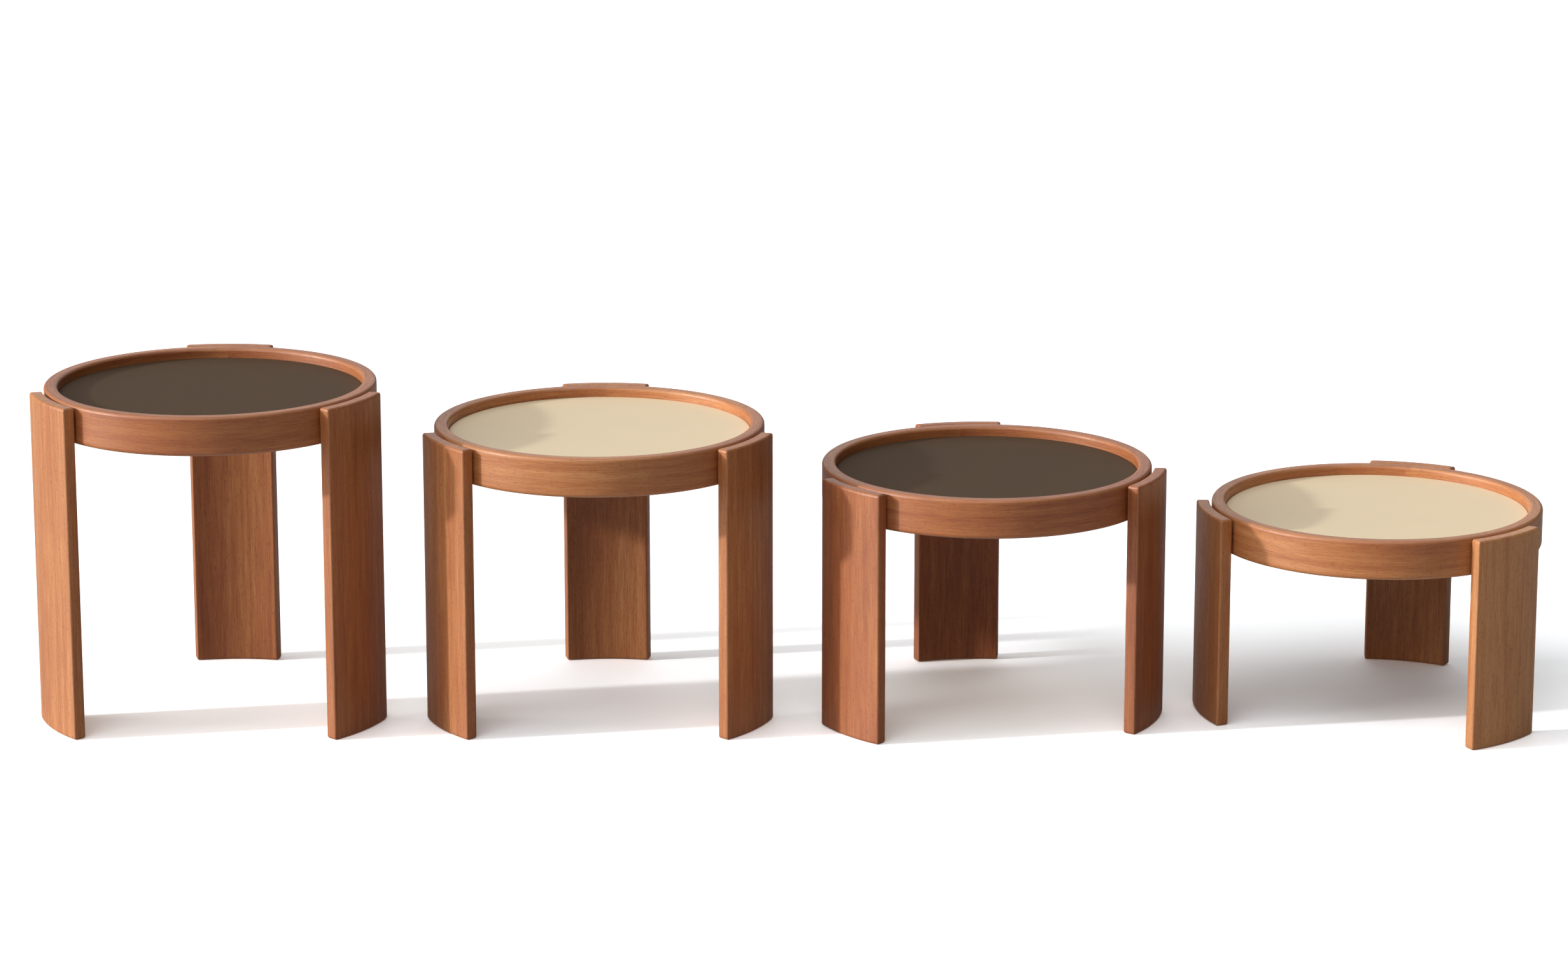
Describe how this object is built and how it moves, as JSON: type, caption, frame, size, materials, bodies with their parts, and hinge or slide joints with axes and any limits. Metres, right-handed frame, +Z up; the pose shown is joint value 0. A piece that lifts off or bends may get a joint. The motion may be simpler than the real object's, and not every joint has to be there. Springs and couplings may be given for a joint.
{
  "type": "nesting tables",
  "caption": "Round nesting tables of stepped heights: bent wood hoops on curved plank legs, with loose two-sided tops recessed behind a raised lip.",
  "frame": {"origin": "on the floor under the middle of the row, the bottom centre of the bounding box", "axes": "+X along the row from the tallest table to the lowest, +Y to the back, +Z up"},
  "size_m": [1.752, 0.4022, 0.3915],
  "materials": {
    "stained_wood": "walnut stain under a satin clear coat, fine straight grain",
    "panel_core": "raw plywood edge",
    "dark_laminate": "matt taupe brown laminate",
    "cream_laminate": "matt cream laminate",
    "steel": "plain zinc-plated steel"
  },
  "bodies": {
    "tallest_frame": {"tallest_hoop": "stained_wood", "tallest_ledge": "stained_wood", "tallest_leg_back": "stained_wood", "tallest_leg_left": "stained_wood", "tallest_leg_right": "stained_wood", "tallest_screw_back_first": "steel", "tallest_screw_back_second": "steel", "tallest_screw_left_first": "steel", "tallest_screw_left_second": "steel", "tallest_screw_right_first": "steel", "tallest_screw_right_second": "steel"},
    "tallest_top": {"tallest_top_core": "panel_core", "tallest_top_dark_face": "dark_laminate", "tallest_top_cream_face": "cream_laminate"},
    "tall_frame": {"tall_hoop": "stained_wood", "tall_ledge": "stained_wood", "tall_leg_back": "stained_wood", "tall_leg_left": "stained_wood", "tall_leg_right": "stained_wood", "tall_screw_back_first": "steel", "tall_screw_back_second": "steel", "tall_screw_left_first": "steel", "tall_screw_left_second": "steel", "tall_screw_right_first": "steel", "tall_screw_right_second": "steel"},
    "tall_top": {"tall_top_core": "panel_core", "tall_top_dark_face": "dark_laminate", "tall_top_cream_face": "cream_laminate"},
    "low_frame": {"low_hoop": "stained_wood", "low_ledge": "stained_wood", "low_leg_back": "stained_wood", "low_leg_left": "stained_wood", "low_leg_right": "stained_wood", "low_screw_back_first": "steel", "low_screw_back_second": "steel", "low_screw_left_first": "steel", "low_screw_left_second": "steel", "low_screw_right_first": "steel", "low_screw_right_second": "steel"},
    "low_top": {"low_top_core": "panel_core", "low_top_dark_face": "dark_laminate", "low_top_cream_face": "cream_laminate"},
    "lowest_frame": {"lowest_hoop": "stained_wood", "lowest_ledge": "stained_wood", "lowest_leg_back": "stained_wood", "lowest_leg_left": "stained_wood", "lowest_leg_right": "stained_wood", "lowest_screw_back_first": "steel", "lowest_screw_back_second": "steel", "lowest_screw_left_first": "steel", "lowest_screw_left_second": "steel", "lowest_screw_right_first": "steel", "lowest_screw_right_second": "steel"},
    "lowest_top": {"lowest_top_core": "panel_core", "lowest_top_dark_face": "dark_laminate", "lowest_top_cream_face": "cream_laminate"}
  },
  "joints": [
    {"name": "lift_tallest", "type": "slide", "parent": "lowest_frame", "child": "tallest_frame", "axis": [0, 0, 1], "range_m": [0, 0.36]},
    {"name": "lift_tall", "type": "slide", "parent": "lowest_frame", "child": "tall_frame", "axis": [0, 0, 1], "range_m": [0, 0.312]},
    {"name": "lift_low", "type": "slide", "parent": "lowest_frame", "child": "low_frame", "axis": [0, 0, 1], "range_m": [0, 0.264]},
    {"name": "lift_out_tallest_top", "type": "slide", "parent": "tallest_frame", "child": "tallest_top", "axis": [0, 0, 1], "range_m": [0, 0.12]},
    {"name": "lift_out_tall_top", "type": "slide", "parent": "tall_frame", "child": "tall_top", "axis": [0, 0, 1], "range_m": [0, 0.12]},
    {"name": "lift_out_low_top", "type": "slide", "parent": "low_frame", "child": "low_top", "axis": [0, 0, 1], "range_m": [0, 0.12]},
    {"name": "lift_out_lowest_top", "type": "slide", "parent": "lowest_frame", "child": "lowest_top", "axis": [0, 0, 1], "range_m": [0, 0.12]}
  ]
}
